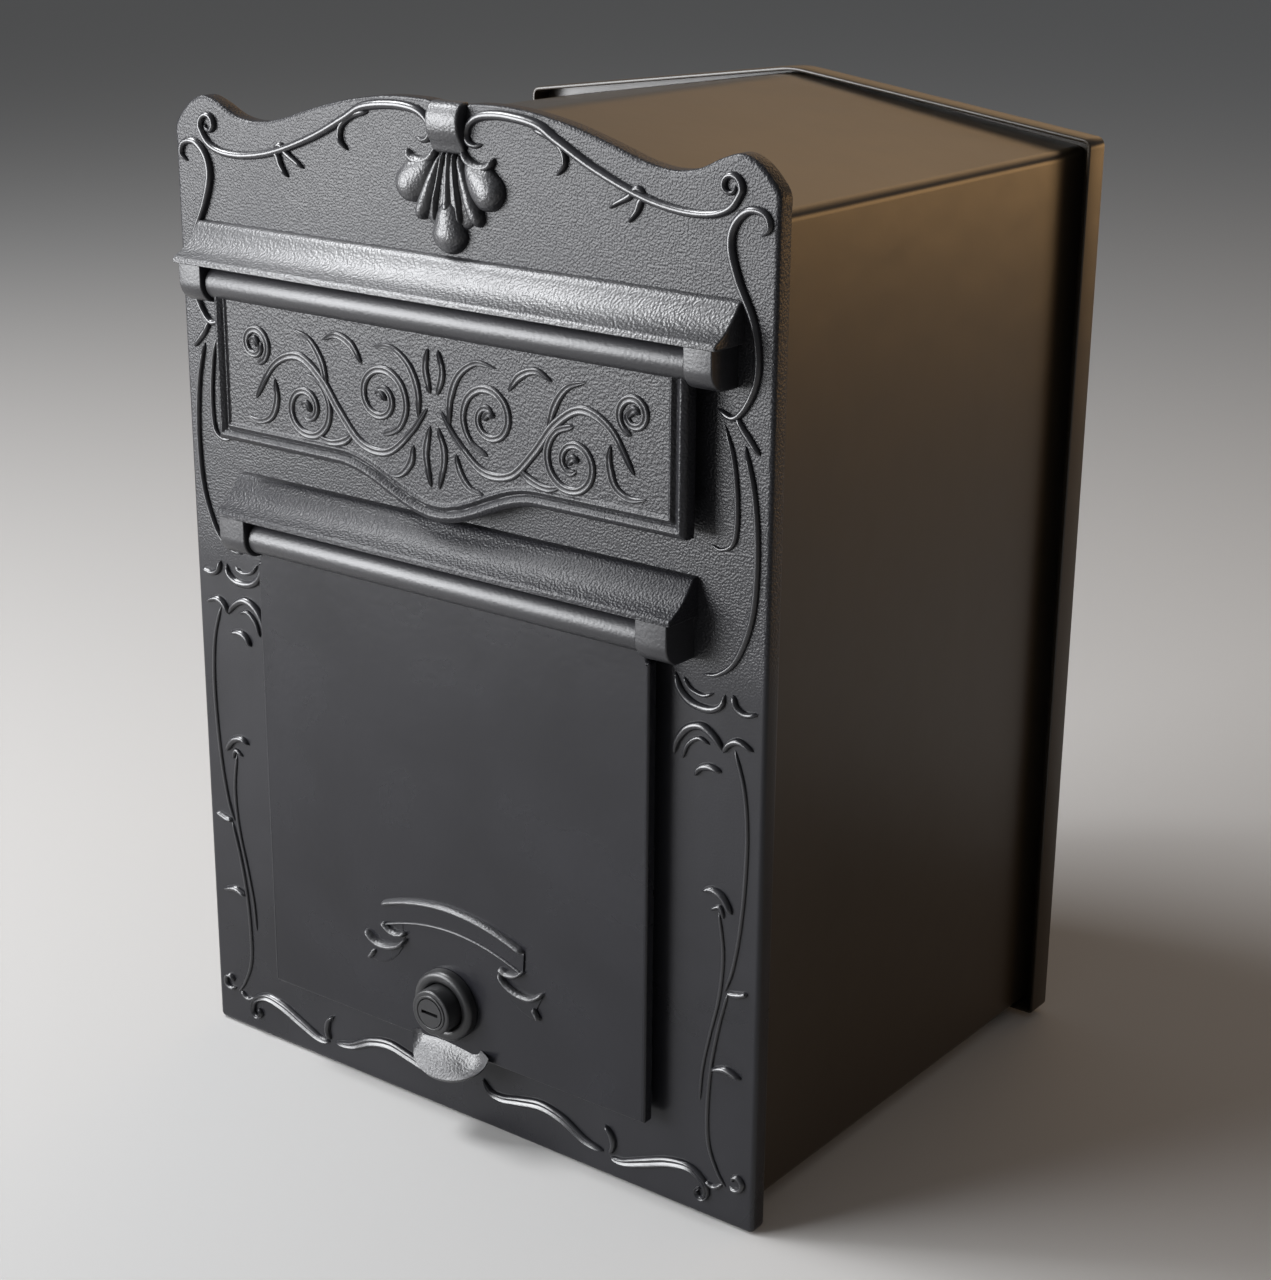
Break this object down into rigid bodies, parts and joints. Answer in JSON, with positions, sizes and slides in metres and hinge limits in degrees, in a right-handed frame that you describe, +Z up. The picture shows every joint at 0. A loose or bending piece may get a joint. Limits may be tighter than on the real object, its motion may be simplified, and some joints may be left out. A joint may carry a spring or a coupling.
{
  "type": "wall mounted mailbox",
  "caption": "Wall mounted mailbox: cast front plate with hooded letter flap and locking lower door, gabled sheet metal case, rimmed back pan.",
  "frame": {"origin": "on the wall face of the back pan, on the centre line, at half the height of the front plate", "axes": "+X to the right of someone facing the front, +Y into the wall, +Z up"},
  "size_m": [0.265, 0.2333, 0.3792],
  "materials": {
    "black_casting": "black powder coat with a fine orange peel grain",
    "black_sheet": "smooth satin black paint",
    "black_lock": "black plated lock cylinder and collar",
    "zinc": "bright zinc plate",
    "pin_steel": "drawn steel wire"
  },
  "bodies": {
    "case": {"front_plate": "black_casting", "case_wrap": "black_sheet", "floor_panel": "black_sheet", "back_pan": "black_sheet", "letter_flap_pin": "pin_steel", "door_pin": "pin_steel", "plate_screw_1": "zinc", "plate_screw_2": "zinc", "plate_screw_3": "zinc", "plate_screw_4": "zinc", "plate_screw_5": "zinc", "plate_screw_6": "zinc", "plate_screw_7": "zinc", "plate_screw_8": "zinc", "back_rivet_1": "zinc", "back_rivet_2": "zinc", "back_rivet_3": "zinc", "back_rivet_4": "zinc", "back_rivet_5": "zinc", "back_rivet_6": "zinc", "back_rivet_7": "zinc", "back_rivet_8": "zinc", "floor_rivet_1": "zinc", "floor_rivet_2": "zinc", "floor_rivet_3": "zinc", "floor_rivet_4": "zinc"},
    "letter_flap": {"letter_flap": "black_casting"},
    "door": {"door": "black_casting", "lock_collar": "black_lock", "lock_body": "black_lock", "lock_washer": "zinc", "lock_nut": "zinc"},
    "lock": {"lock_plug": "black_lock", "cam_stop": "zinc", "lock_cam": "zinc", "cam_screw": "zinc"}
  },
  "joints": [
    {"name": "letter_flap_hinge", "type": "hinge", "parent": "case", "child": "letter_flap", "pos_m": [0, -0.2214, 0.1179], "axis": [-1, 0, 0], "range_deg": [0, 90]},
    {"name": "door_hinge", "type": "hinge", "parent": "case", "child": "door", "pos_m": [0, -0.2221, 0.0249], "axis": [-1, 0, 0], "range_deg": [0, 120]},
    {"name": "lock_turn", "type": "hinge", "parent": "door", "child": "lock", "pos_m": [0, -0.2144, -0.1384], "axis": [0, 1, 0], "range_deg": [0, 90]}
  ]
}
